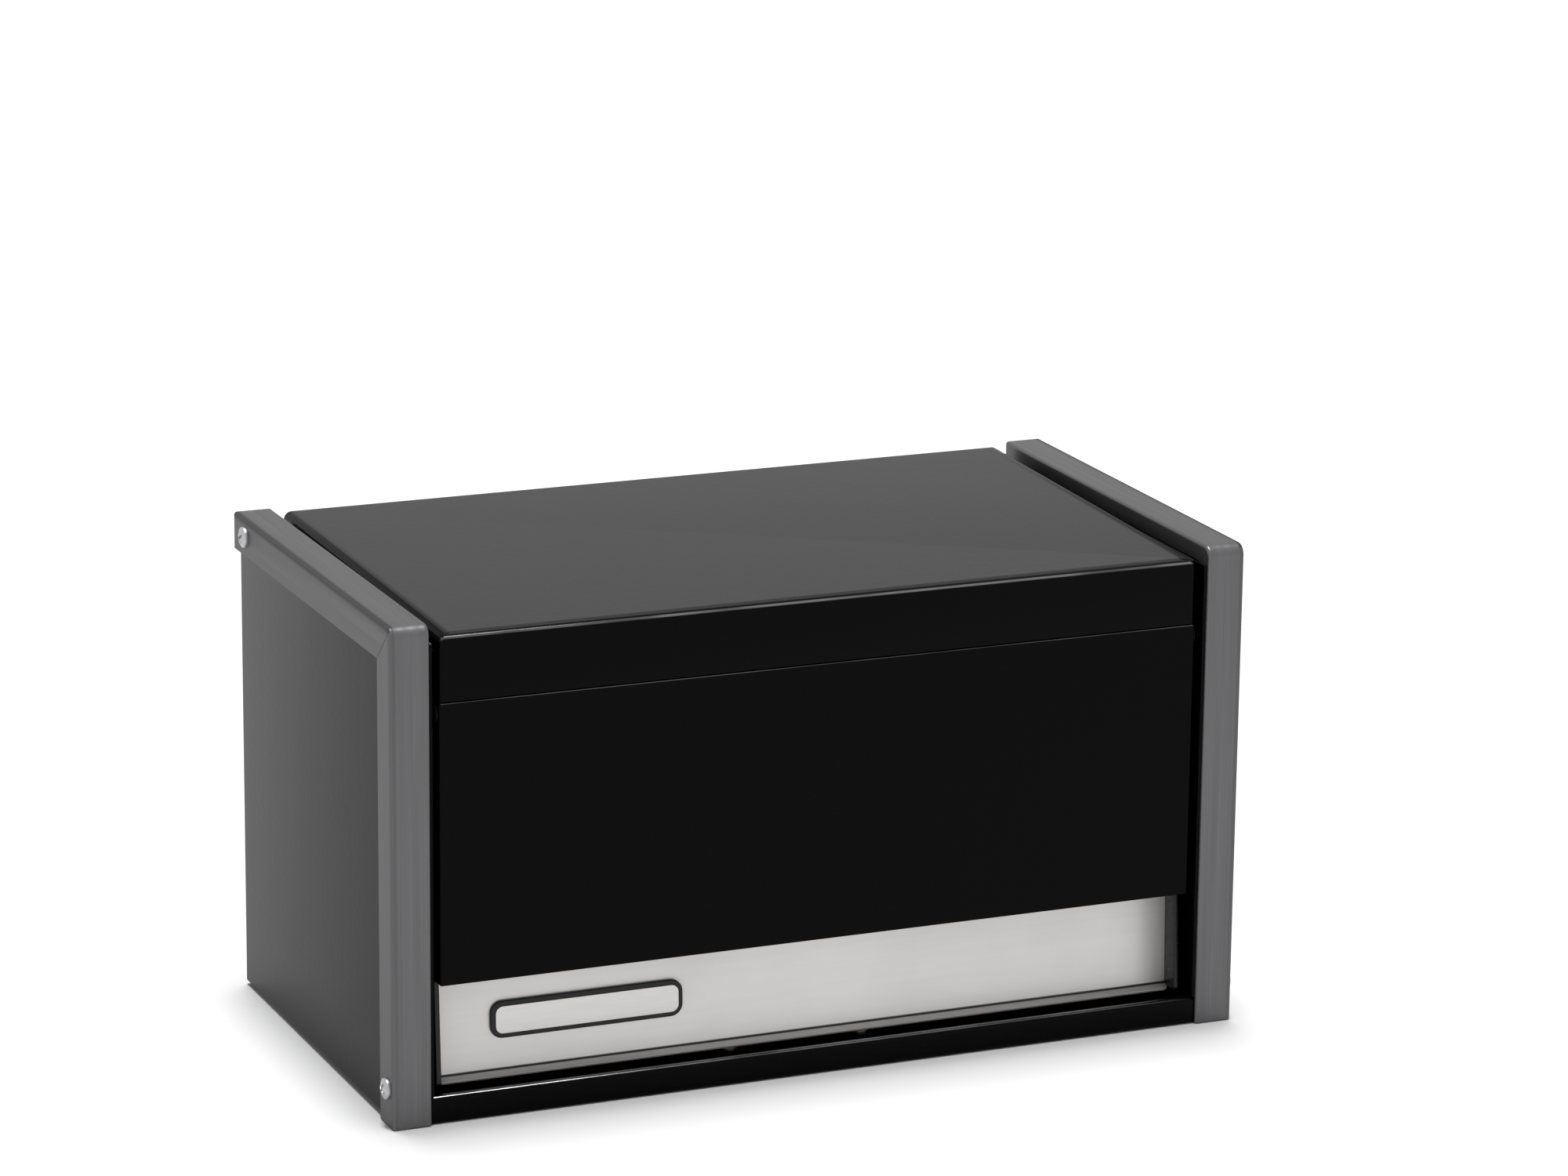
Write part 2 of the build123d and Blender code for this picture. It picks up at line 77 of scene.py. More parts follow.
def rounded(corners, radii, steps=8, closed=False):
    """Outline through 2-D corners, each replaced by an arc tangent to both of its runs.

    The arc starts radius * tan(turn / 2) before the corner. Its points are the centre plus the
    start radius turned by 0 to the whole turn. An open path keeps its two end corners.
    """
    corners = np.asarray(corners, float)
    radius = np.broadcast_to(np.asarray(radii, float), len(corners))[:, None]
    along = np.roll(corners, -1, axis=0) - corners
    along /= np.linalg.norm(along, axis=1, keepdims=True)
    before = np.roll(along, 1, axis=0)
    cross = before[:, :1] * along[:, 1:] - before[:, 1:] * along[:, :1]
    turn = np.arctan2(cross, (before * along).sum(axis=1, keepdims=True))
    start = corners - before * radius * np.tan(np.abs(turn) / 2)
    spoke = np.stack([before[:, 1], -before[:, 0]], axis=1) * np.sign(turn) * radius
    angle = turn * np.linspace(0, 1, steps)
    u = spoke[:, :1] * np.cos(angle) - spoke[:, 1:] * np.sin(angle)
    v = spoke[:, :1] * np.sin(angle) + spoke[:, 1:] * np.cos(angle)
    arcs = (start - spoke)[:, None, :] + np.stack([u, v], axis=-1)
    if closed:
        return arcs.reshape(-1, 2)
    return np.concatenate([corners[:1], arcs[1:-1].reshape(-1, 2), corners[-1:]])


def mesh_of(name, grid, around=False, keep=None, caps=(), uv=None, fold=None, outwards=True):
    """Surface from a grid of points: point (i, j) is joined to (i, j + 1) and (i + 1, j).

    around closes each row on itself, keep is a mask of the cells to make, and caps names the
    first row (0) or the last row (-1) where a flat face closes the surface. fold is a mask over
    the points, kept as an attribute; the materials use it for painted highlight and painted shade
    along folds. Doubles are merged before normals are turned outwards.
    """
    rows, columns = grid.shape[:2]
    i, j = np.meshgrid(np.arange(rows - 1), np.arange(columns if around else columns - 1), indexing="ij")
    right = (j + 1) % columns
    cells = np.stack([i * columns + j, i * columns + right, (i + 1) * columns + right, (i + 1) * columns + j], -1)
    cells = cells.reshape(-1, 4) if keep is None else cells[keep]
    faces = cells.tolist()
    if 0 in caps:
        faces.append(list(range(columns))[::-1])
    if -1 in caps:
        faces.append(list(range((rows - 1) * columns, rows * columns)))
    mesh = bpy.data.meshes.new(name)
    mesh.from_pydata(grid.reshape(-1, 3), [], faces)
    if uv is not None:
        corner_vertex = np.zeros(len(mesh.loops), np.int32)
        mesh.loops.foreach_get("vertex_index", corner_vertex)
        layer = mesh.uv_layers.new(name="run")
        layer.data.foreach_set("uv", uv.reshape(-1, 2)[corner_vertex].astype(np.float32).ravel())
    if fold is not None:
        mark = mesh.attributes.new("fold", "FLOAT", "POINT")
        mark.data.foreach_set("value", np.broadcast_to(fold, (rows, columns)).astype(np.float32).ravel())
    work = bmesh.new()
    work.from_mesh(mesh)
    bmesh.ops.remove_doubles(work, verts=work.verts, dist=2e-6)
    bmesh.ops.dissolve_degenerate(work, edges=work.edges, dist=1e-7)
    if outwards:
        bmesh.ops.recalc_face_normals(work, faces=work.faces)
    work.to_mesh(mesh)
    work.free()
    return mesh


def carried(name, path, ends, fold=None):
    """Path of (y, z) points carried along X, its outer side on the right of the path.

    ends holds the two X values, one pair for all points or one pair for each point.
    """
    ends = np.asarray(ends, float).reshape(2, -1)
    grid = np.zeros((2, len(path), 3))
    grid[..., 0] = ends
    grid[..., 1:] = path
    return mesh_of(name, grid, fold=fold, outwards=False)


def piece_of(name, meshes, body, nodes, material, wall=0.0, edge=0.0):
    """Object from one or more meshes, with sheet thickness inwards and softened cut edges."""
    work = bmesh.new()
    for mesh in meshes:
        work.from_mesh(mesh)
        bpy.data.meshes.remove(mesh)
    joined = bpy.data.meshes.new(name)
    work.to_mesh(joined)
    work.free()
    piece = bpy.data.objects.new(name, joined)
    bpy.context.scene.collection.objects.link(piece)
    if wall:
        thick = piece.modifiers.new("wall", "SOLIDIFY")
        thick.thickness = wall
        thick.offset = -1
        thick.use_even_offset = True
    if edge:
        soften = piece.modifiers.new("edge", "BEVEL")
        soften.width = edge
        soften.segments = 2
        soften.limit_method = "ANGLE"
        soften.angle_limit = np.radians(60)
    settled = bpy.data.meshes.new_from_object(piece.evaluated_get(bpy.context.evaluated_depsgraph_get()))
    piece.modifiers.clear()
    piece.data = settled
    settled.polygons.foreach_set("use_smooth", np.ones(len(settled.polygons), bool))
    settled.set_sharp_from_angle(angle=np.radians(35))
    settled.materials.clear()
    settled.materials.append(material)
    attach(piece, body)
    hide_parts(*nodes)
    return piece


def node(tree, kind, inputs=(), **settings):
    """Adds a shader node: inputs pairs a socket's name or number with a value or a socket."""
    new = tree.nodes.new(kind)
    for key, value in settings.items():
        setattr(new, key, value)
    for key, value in dict(inputs).items():
        if isinstance(value, bpy.types.NodeSocket):
            tree.links.new(value, new.inputs[key])
        else:
            new.inputs[key].default_value = value
    return new


def between(tree, factor, low, high, start=0.0, end=1.0):
    """Value that runs from low to high as factor runs from start to end."""
    scaled = node(tree, "ShaderNodeMapRange", {"Value": factor, "From Min": start, "From Max": end,
                                               "To Min": low, "To Max": high})
    return scaled.outputs["Result"]


def blended(tree, factor, low, high):
    """Colour that runs from low to high as factor runs from 0 to 1."""
    mix = node(tree, "ShaderNodeMix", data_type="RGBA")
    tree.links.new(factor, mix.inputs[0])
    mix.inputs[6].default_value = (*low, 1)
    mix.inputs[7].default_value = (*high, 1)
    return mix.outputs[2]


def group_tree(name, inputs, outputs):
    """Empty shader node group with float or vector inputs and float outputs."""
    tree = bpy.data.node_groups.new(name, "ShaderNodeTree")
    for label, value in inputs.items():
        kind = "NodeSocketVector" if value is None else "NodeSocketFloat"
        socket = tree.interface.new_socket(label, in_out="INPUT", socket_type=kind)
        if value is not None:
            socket.default_value = value
    for label in outputs:
        tree.interface.new_socket(label, in_out="OUTPUT", socket_type="NodeSocketFloat")
    return tree, node(tree, "NodeGroupInput").outputs, node(tree, "NodeGroupOutput").inputs


def cast_skin_group():
    """A coat's own skin: orange peel as height, slow clouds and fine specks as two masks."""
    tree, given, out = group_tree("coat_skin", {"Vector": None, "Peel": 420.0, "Cloud": 28.0, "Speck": 2600.0},
                                  ("Peel", "Cloud", "Speck"))
    for label, detail in (("Peel", 1.0), ("Cloud", 4.0), ("Speck", 2.0)):
        noise = node(tree, "ShaderNodeTexNoise", {"Vector": given["Vector"], "Scale": given[label], "Detail": detail})
        value = noise.outputs[0] if label != "Speck" else between(tree, noise.outputs[0], 0, 1, 0.66, 0.74)
        tree.links.new(value, out[label])
    return tree


coat_skin = cast_skin_group()


def finish_material(name, base, metallic=0.0, specular=0.5, roughness=0.4, **sockets):
    """Principled material with its plain values on the shader's own sockets."""
    material = bpy.data.materials.new(name)
    material.use_nodes = True
    tree = material.node_tree
    tree.nodes.clear()
    out = node(tree, "ShaderNodeOutputMaterial")
    shader = node(tree, "ShaderNodeBsdfPrincipled", {
        "Base Color": (*base, 1), "Metallic": metallic, "Specular IOR Level": specular, "Roughness": roughness})
    for label, value in sockets.items():
        shader.inputs[label.replace("_", " ")].default_value = value
    tree.links.new(shader.outputs[0], out.inputs["Surface"])
    return material, tree, shader.inputs


def object_position(tree):
    return node(tree, "ShaderNodeTexCoord").outputs["Object"]


def grouped(tree, group, vector, **values):
    """Places a shader group on a vector, with its own values."""
    placed = node(tree, "ShaderNodeGroup", node_tree=group)
    tree.links.new(vector, placed.inputs["Vector"])
    for label, value in values.items():
        placed.inputs[label].default_value = value
    return placed.outputs


def relief(tree, shader, height, distance):
    """Feeds a height, in shares of a distance in metres, to the shader's normal."""
    made = node(tree, "ShaderNodeBump", {"Height": height, "Distance": distance})
    tree.links.new(made.outputs[0], shader["Normal"])


def black_enamel():
    """Deep black gloss enamel: faint orange peel, clouded gloss, dust, and a painted highlight of extra coat along
    folds.
    """
    material, tree, shader = finish_material("black_enamel", (0.0012, 0.0012, 0.0014), specular=0.05,
                                             Coat_IOR=2.6, Coat_Roughness=0.2)
    skin = grouped(tree, coat_skin, object_position(tree), Peel=420.0, Cloud=28.0, Speck=2600.0)
    tree.links.new(between(tree, skin["Cloud"], 0.12, 0.20), shader["Roughness"])
    tree.links.new(blended(tree, skin["Speck"], (0.0011, 0.0011, 0.0013), (0.005, 0.005, 0.0052)),
                   shader["Base Color"])
    # Painted highlight: coat is laid on only where the fold mask is set, broken up by the clouds.
    fold = node(tree, "ShaderNodeAttribute", attribute_name="fold")
    painted_highlight = node(tree, "ShaderNodeMath", {0: fold.outputs["Fac"], 1: between(tree, skin["Cloud"], 0.45, 1, 0.38, 0.56)},
                operation="MULTIPLY")
    tree.links.new(painted_highlight.outputs[0], shader["Coat Weight"])
    relief(tree, shader, skin["Peel"], 0.00002)
    return material


enamel = black_enamel()


def painted_bend_highlight(angle, start, end, strength=1.0):
    """Painted highlight mask along a bend: strength between two angles from the front face, fading out beyond."""
    outside = np.maximum(np.radians(start) - angle, angle - np.radians(end))
    return strength * np.clip(1 - outside / np.radians(8), 0, 1)


def floor_and_sill():
    near, back = floor_low.y, floor_high.y
    upstand_face = back - 2 * sheet
    tray_half = wall_outer - tray_margin
    corners = [(near + sill_depth, sill_foot), (near + sill_depth, sill_height - sill_fall),
               (near + sill_flat, sill_height), (near, sill_height), (near, 0), (back, 0)]
    steps = 13
    path = rounded(corners, [0, sill_bend, 0, sill_bend, sill_bend, 0], steps)
    # Painted highlight: extra coat on the sill's top front bend.
    mask = np.zeros(len(path))
    mask[1 + 2 * steps:1 + 3 * steps] = painted_bend_highlight(np.linspace(np.pi / 2, 0, steps), 52, 90)
    pan = carried("pan", path, (-wall_outer, wall_outer), fold=mask)
    tray_corners = [(near + tray_start, 0), (upstand_face, 0), (upstand_face, floor_high.z)]
    tray = carried("tray", rounded(tray_corners, sill_bend), (-tray_half, tray_half))
    sides = [carried("side", [(near + sheet, 0), (back, 0)], sorted((side * wall_outer, side * floor_high.x)))
             for side in (-1, 1)]
    piece_of("floor_and_sill", [pan, tray, *sides], "case", ["bottom_pan"], enamel,
             wall=sheet, edge=cut_edge)


floor_and_sill()


# Side panels. Black enamelled pans with a rim turned inwards all round; the corner trims cover
# their front and top edges.

panel_low, panel_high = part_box("side_panel_left")
rim_bend = 0.0010
panel_corner = 0.0028
corner_ease = 1.02


def drawn_in(corners, distance):
    """Corners of a counterclockwise outline moved inwards, each along its mitre."""
    corners = np.asarray(corners, float)
    along = np.roll(corners, -1, axis=0) - corners
    along /= np.linalg.norm(along, axis=1, keepdims=True)
    inward = np.stack([-along[:, 1], along[:, 0]], axis=1)
    before = np.roll(inward, 1, axis=0)
    return corners + distance * (before + inward) / (1 + (before * inward).sum(axis=1, keepdims=True))


def rings(corners, radii, insets, levels, steps=8):
    """Grid of rings (u, v, w): ring k is the rounded outline drawn in by insets[k] at levels[k].

    Radii wider than the bend by corner_ease leave a small arc in the innermost ring's corners.
    """
    rows = []
    for inset, level in zip(insets, levels):
        radius = np.maximum(np.asarray(radii, float) - inset, 1e-5)
        ring = rounded(drawn_in(corners, inset), radius, steps, closed=True)
        rows.append(np.column_stack([ring, np.full(len(ring), level)]))
    return np.array(rows)


def mirrored(grid, side):
    """The points as they are for side -1, and their mirror image in the YZ plane for side 1."""
    return grid * np.array([-side, 1, 1])


def side_panel(side, suffix):
    """Rings of the outline: straight rim, quarter bend, then the flat face as a cap."""
    y0, y1, z0, z1 = panel_low.y, panel_high.y, panel_low.z, panel_high.z
    corners = [(y0, z0), (y1, z0), (y1, z1), (y0, z1)]
    radii = np.array([rim_bend, rim_bend, rim_bend, panel_corner]) * corner_ease
    angle = np.linspace(0, np.pi / 2, 8)
    insets = np.concatenate([[0], rim_bend * (1 - np.cos(angle))])
    levels = np.concatenate([[panel_high.x], panel_low.x + rim_bend * (1 - np.sin(angle))])
    grid = rings(corners, radii, insets, levels)[..., [2, 0, 1]]
    mesh = mesh_of("pan", mirrored(grid, side), around=True, caps=(-1,))
    piece_of("panel_" + suffix, [mesh], "case", ["side_panel_" + suffix], enamel, wall=sheet)


side_panel(-1, "left")
side_panel(1, "right")


# Corner trims. Each is one channel in metallic grey paint, roll-formed with faint draw lines,
# notched and mitred so that post and top rail are one bent strip. Screwed to the side panels.

trim_sheet = 0.00098
trim_bend = 0.00375
trim_fold = 0.0010
outer_flange = 0.0120
inner_flange = 0.0060
mitre_gap = 0.00018
mitre_start = 0.0019
crease_reach = 0.0012
post_crease = 0.3
sill_clearance = 0.0002
trim_waves = 0.00003
trim_grey = (0.139, 0.136, 0.140)


def drawn_lines_group():
    """Lines that run along a strip: noise stretched along the vector's second axis, in two widths."""
    tree, given, out = group_tree("drawn_lines", {"Vector": None, "Across": 900.0, "Along": 6.0}, ("Fine", "Broad"))
    split = node(tree, "ShaderNodeSeparateXYZ", {0: given["Vector"]})
    along = node(tree, "ShaderNodeMath", {0: split.outputs[1], 1: given["Along"]}, operation="MULTIPLY")
    across = node(tree, "ShaderNodeMath", {0: split.outputs[0], 1: given["Across"]}, operation="MULTIPLY")
    for label, share in (("Fine", 1.0), ("Broad", 0.2)):
        wide = node(tree, "ShaderNodeMath", {0: across.outputs[0], 1: share}, operation="MULTIPLY")
        place = node(tree, "ShaderNodeCombineXYZ", {0: wide.outputs[0], 1: along.outputs[0], 2: split.outputs[2]})
        noise = node(tree, "ShaderNodeTexNoise", {"Vector": place.outputs[0], "Scale": 1.0, "Detail": 3.0})
        tree.links.new(noise.outputs[0], out[label])
    return tree


drawn_lines = drawn_lines_group()


def shaded(tree, factor, colour):
    """A colour multiplied by a factor that varies over the surface."""
    mix = node(tree, "ShaderNodeMix", data_type="RGBA", blend_type="MULTIPLY")
    mix.inputs[0].default_value = 1.0
    mix.inputs[6].default_value = (*colour, 1)
    tree.links.new(factor, mix.inputs[7])
    return mix.outputs[2]


def metallic_grey():
    """Satin metallic grey: flake sparkle, draw lines along the channel, and painted shade on its fold."""
    material, tree, shader = finish_material("metallic_grey", trim_grey, metallic=0.75, specular=0.08,
                                             Specular_Tint=(0.62, 0.62, 0.62, 1))
    run = node(tree, "ShaderNodeUVMap", uv_map="run")
    lines = grouped(tree, drawn_lines, run.outputs[0], Across=1500.0, Along=9.0)
    flakes = node(tree, "ShaderNodeTexVoronoi", {"Vector": object_position(tree), "Scale": 5200.0})
    both = node(tree, "ShaderNodeMath", {0: lines["Fine"], 1: lines["Broad"]}, operation="ADD")
    tone = between(tree, both.outputs[0], 0.82, 1.18, 0.5, 1.5)
    sparkle = node(tree, "ShaderNodeMath", {0: tone, 1: between(tree, flakes.outputs["Distance"], 1.08, 0.92)},
                   operation="MULTIPLY")
    # Painted shade: the base colour darkens to 0.35 of itself where the fold mask is 1.
    fold = node(tree, "ShaderNodeAttribute", attribute_name="fold")
    crease_shaded = node(tree, "ShaderNodeMath", {0: sparkle.outputs[0], 1: between(tree, fold.outputs["Fac"], 1, 0.35)},
                   operation="MULTIPLY")
    tree.links.new(shaded(tree, crease_shaded.outputs[0], trim_grey), shader["Base Color"])
    tree.links.new(between(tree, lines["Broad"], 0.32, 0.42), shader["Roughness"])
    relief(tree, shader, lines["Fine"], 0.000006)
    return material


grey_paint = metallic_grey()


def trim_section():
    """Across the channel: distance in from the outer side, depth below the face, and the run.

    The face between its two folds has three shallow waves left by the forming rolls.
    """
    width = half - wall_outer
    quarter = np.linspace(0, np.pi / 2, 7)
    face = np.linspace(trim_fold, width - trim_fold, 25)[1:-1]
    phase = (face - trim_fold) / (width - 2 * trim_fold) * 3
    waves = trim_waves * (1 - np.cos(2 * np.pi * phase)) / 2
    flange = np.array([trim_bend, mitre_start, trim_fold + crease_reach / 2])
    inset = np.concatenate([np.zeros(4), trim_fold * (1 - np.cos(quarter)), face,
                            width - trim_fold + trim_fold * np.sin(quarter), np.full(4, width)])
    depth = np.concatenate([[outer_flange], flange, trim_fold * (1 - np.sin(quarter)), waves,
                            trim_fold * (1 - np.cos(quarter)), flange[::-1], [inner_flange]])
    run = np.concatenate([[0], np.cumsum(np.hypot(np.diff(inset), np.diff(depth)))])
    return inset, depth, run


def corner_trim(side, suffix):
    """The section swept along post, corner and rail.

    At depth d the corner's arc has radius bend - d about a centre max(bend, d) in from both
    face planes, so the face is bent round it. The flanges meet on the diagonal: there each arc
    stops half a gap short of it, straight runs end gap / sqrt(2) early, and the cells between
    post and rail are left out.
    """
    inset, depth, run = trim_section()
    width = half - wall_outer
    centre = np.maximum(trim_bend, depth)
    radius = np.maximum(trim_bend - depth, 0)
    foot, top = trim_low.z, trim_high.z
    notch = sill_height + sill_clearance
    gapped = depth > mitre_start - 1e-6
    pull = np.where(gapped, mitre_gap / 2, 0)
    curved = radius > pull
    short = np.where(curved, 0, np.sqrt(2) * pull)
    swing = np.where(curved, np.pi / 4 - pull / np.where(curved, radius, 1), np.pi / 4)
    eighth = np.linspace(0, 1, 7)[:, None] * swing
    angle = np.concatenate([eighth, np.pi / 2 - eighth[::-1]])
    after = np.repeat([0, 1], len(eighth))[:, None]
    level = np.zeros(len(depth))
    post_y = np.broadcast_to(front + depth, (3, len(depth)))
    post_z = np.stack([level + foot, level + notch, top - centre - short])
    arc_y = front + centre - radius * np.cos(angle) + short * after
    arc_z = top - centre + radius * np.sin(angle) - short * (1 - after)
    rail_y = np.stack([front + centre + short, level + rear])
    rail_z = np.broadcast_to(top - depth, (2, len(depth)))
    y = np.concatenate([post_y, arc_y, rail_y])
    z = np.concatenate([post_z, arc_z, rail_z])
    grid = np.stack([np.broadcast_to(inset - half, y.shape), y, z], axis=-1)
    bend_run = trim_bend * angle[:, 0]
    along = np.concatenate([[foot, notch, top - trim_bend], top - trim_bend + bend_run,
                            [top - trim_bend + bend_run[-1], top + rear - front]])
    uv = np.stack([np.broadcast_to(run, y.shape), np.broadcast_to(along[:, None], y.shape)], axis=-1)
    keep = np.ones((y.shape[0] - 1, y.shape[1] - 1), bool)
    middle = len(post_y) + len(eighth) - 1
    keep[middle, gapped[:-1] & gapped[1:]] = False
    over_sill = (inset > width - 1e-6) & (depth > trim_fold - 1e-6)
    keep[0, over_sill[:-1] & over_sill[1:]] = False
    # Painted shade mask along the outer fold: full on the rail, post_crease of it on the post.
    on_fold = np.clip(1 - np.abs(inset + depth - trim_fold) / crease_reach, 0, 1) * (inset < width / 4)
    on_rail = np.arange(len(y)) >= middle
    crease = np.where(on_rail, 1.0, post_crease)[:, None] * on_fold
    mesh = mesh_of("channel", mirrored(grid, side), keep=keep, uv=uv, fold=crease)
    piece_of("trim_" + suffix, [mesh], "case", ["corner_trim_" + suffix], grey_paint, wall=trim_sheet)


corner_trim(-1, "left")
corner_trim(1, "right")


# Trim screws. Zinc-plated pan heads with a cross recess, one near each end of a trim.

head_radius = 0.0034
head_dome = 0.0011
recess_reach = 0.0019
recess_width = 0.00062
recess_depth = 0.0009
recess_wall = 0.00018
rim_share = 0.96
rim_drop = 0.00035


def zinc_plate():
    """Dull bright zinc with a fine crystalline grain."""
    material, tree, shader = finish_material("zinc_plate", (0.42, 0.42, 0.43), metallic=1.0)
    skin = grouped(tree, coat_skin, object_position(tree), Peel=1800.0, Cloud=500.0, Speck=4000.0)
    tree.links.new(between(tree, skin["Peel"], 0.26, 0.46), shader["Roughness"])
    tree.links.new(blended(tree, skin["Cloud"], (0.36, 0.36, 0.37), (0.50, 0.50, 0.51)), shader["Base Color"])
    relief(tree, shader, skin["Peel"], 0.00002)
    return material


zinc = zinc_plate()


def screw_dome(radius, height, turn):
    """Polar grid (u, v, w): the dome falls with the square of the radius, a cross is sunk in it."""
    share = np.linspace(0, 1, 40)[:, None]
    angle = np.linspace(0, 2 * np.pi, 96, endpoint=False)[None, :]
    u, v = radius * share * np.cos(angle), radius * share * np.sin(angle)
    a, b = radius * share * np.cos(angle - turn), radius * share * np.sin(angle - turn)
    thin, long = np.minimum(np.abs(a), np.abs(b)), np.maximum(np.abs(a), np.abs(b))
    scale = radius / head_radius
    sunk = np.clip((scale * recess_width / 2 + recess_wall - thin) / recess_wall, 0, 1)
    sunk = sunk * np.clip((scale * recess_reach + recess_wall - long) / recess_wall, 0, 1)
    rim = np.clip((share - rim_share) / (1 - rim_share), 0, 1) ** 2
    w = height - scale * (head_dome * share ** 2 + recess_depth * sunk + rim_drop * rim)
    top = np.stack([u, v, w], axis=-1)
    skirt = top[-1:] * np.array([1, 1, 0])
    return np.concatenate([top, skirt])


def placed(grid, origin, u, v, w):
    """Local points (u, v, w) set on three world directions at an origin."""
    return np.asarray(origin, float) + grid @ np.array([u, v, w], float)


X, Y, Z = np.eye(3)
for side, suffix in ((-1, "left"), (1, "right")):
    low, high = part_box("trim_screws_" + suffix)
    height = max(-low.x, high.x) - half
    places = [(low.y + head_radius, low.z + head_radius, 0.5), (high.y - head_radius, high.z - head_radius, 1.1)]
    heads = [mesh_of("head", placed(screw_dome(head_radius, height, turn), (side * half, y, z), Y, Z, side * X),
                     around=True, caps=(-1,)) for y, z, turn in places]
    piece_of("pan_screws_" + suffix, heads, "case", ["trim_screws_" + suffix], zinc)


# Inner walls and back panel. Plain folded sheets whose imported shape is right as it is; they get
# the cabinet's enamel.

for name in ("inner_wall_left", "inner_wall_right", "back_panel"):
    cad_sheet = frame["nodes"][name]
    cad_sheet.data.materials.clear()
    cad_sheet.data.materials.append(enamel)


# Top cover. One black sheet: a shallow sloping lid whose deep front edge is the header over the
# door, with low skirts on the other three sides that stand on the inner walls.

cover_low, cover_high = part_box("top_cover")
door_low, door_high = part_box("door_panel")
door_half = door_high.x
lid_front = 0.1554
skirt_drop = 0.010
cover_bend = 0.0015
side_bend = 0.0030
crease_drop = 0.00023
crease_reaches = (0.0011, 0.0019)
foot_start = 0.0035
foot_end = 0.004


def top_cover():
    """Rings of the plan outline, drawn in by bend * (1 - cos) while they rise by bend * sin.

    The sides have the wider side_bend: their rings are narrowed in X, and start lower. Along
    the front the bend lies crease_drop lower, and the lid steps up behind it. Rings above the
    skirt follow the lid's slope. The header's lower ring is kept only along the front, and two
    narrow feet run from the side skirts to the inner walls.
    """
    y0, y1 = cover_low.y, cover_high.y
    skirt_foot = trim_high.z - skirt_drop
    corners = [(-door_half, y0), (door_half, y0), (door_half, y1), (-door_half, y1)]
    angle = np.linspace(0, np.pi / 2, 19)
    across = np.concatenate([1 - np.cos(angle), [1, 1]])
    down = np.concatenate([1 - np.sin(angle), [0, 0]])
    beyond = np.concatenate([0 * angle, crease_reaches])
    drop = crease_drop * np.concatenate([0 * angle + 1, [0.75, 0]])
    insets = np.concatenate([[0, 0], cover_bend * across + beyond])
    levels = np.concatenate([[cover_low.z, skirt_foot], lid_front - cover_bend * down])
    grid = rings(corners, cover_bend * corner_ease, insets, levels)
    sideways = np.clip((np.abs(grid[0, :, 0]) - door_half) / cover_bend + 1, 0, 1)
    frontal = np.clip(1 - (grid[0, :, 1] - y0) / cover_bend, 0, 1)
    grid[2:, :, 2] -= (side_bend - cover_bend) * down[:, None] * sideways + drop[:, None] * frontal
    grid[2:, :, 0] *= ((door_half - side_bend * across - beyond) / (door_half - cover_bend * across - beyond))[:, None]
    slope = (cover_high.z - lid_front) / (y1 - y0)
    grid[2:, :, 2] += slope * (grid[2:, :, 1] - y0)
    keep = np.ones((len(grid) - 1, grid.shape[1]), bool)
    on_header = grid[0, :, 1] < y0 + sheet
    keep[0] = on_header & np.roll(on_header, -1)
    faces_front = (grid[0, :, 1] < y0 + cover_bend / 2)[None, :]
    # Painted highlight: a band of extra coat on the front bend of the lid.
    fold = np.concatenate([[0, 0], painted_bend_highlight(angle, 22, 40, 0.8), [0, 0]])[:, None] * faces_front
    lid = mesh_of("lid", grid, around=True, keep=keep, caps=(-1,), fold=fold)
    start, end = y0 + foot_start, y1 - foot_end
    feet = [carried("foot", [(start, skirt_foot), (end, skirt_foot)],
                    sorted((side * cover_high.x, side * (door_half - sheet)))) for side in (-1, 1)]
    piece_of("cover", [lid, *feet], "case", ["top_cover"], enamel, wall=sheet, edge=cut_edge)


top_cover()


# Door. A black stepped pan: a face with folded edges, an undercut along its foot, and a leaning
# recessed back that carries the steel strip.

strip_low, strip_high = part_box("pull_trim")
door_face, door_top = door_low.y, door_high.z
door_bend = 0.0007
top_return = 0.007
side_return = 0.0117
pull_height = 0.0347
strip_depth_top = 0.0121
strip_depth_low = 0.0109
strip_sheet = 0.0008
strip_bend_rise = 0.0016
recess_bend = 0.0006

door_foot = strip_low.z + pull_height
strip_top = np.array([door_face + strip_depth_top, door_foot])
strip_bend = np.array([door_face + strip_depth_low, strip_low.z + strip_bend_rise])
strip_up = (strip_top - strip_bend) / np.linalg.norm(strip_top - strip_bend)
strip_out = np.array([-strip_up[1], strip_up[0]])
behind_strip = np.array([strip_sheet / strip_up[1], 0])


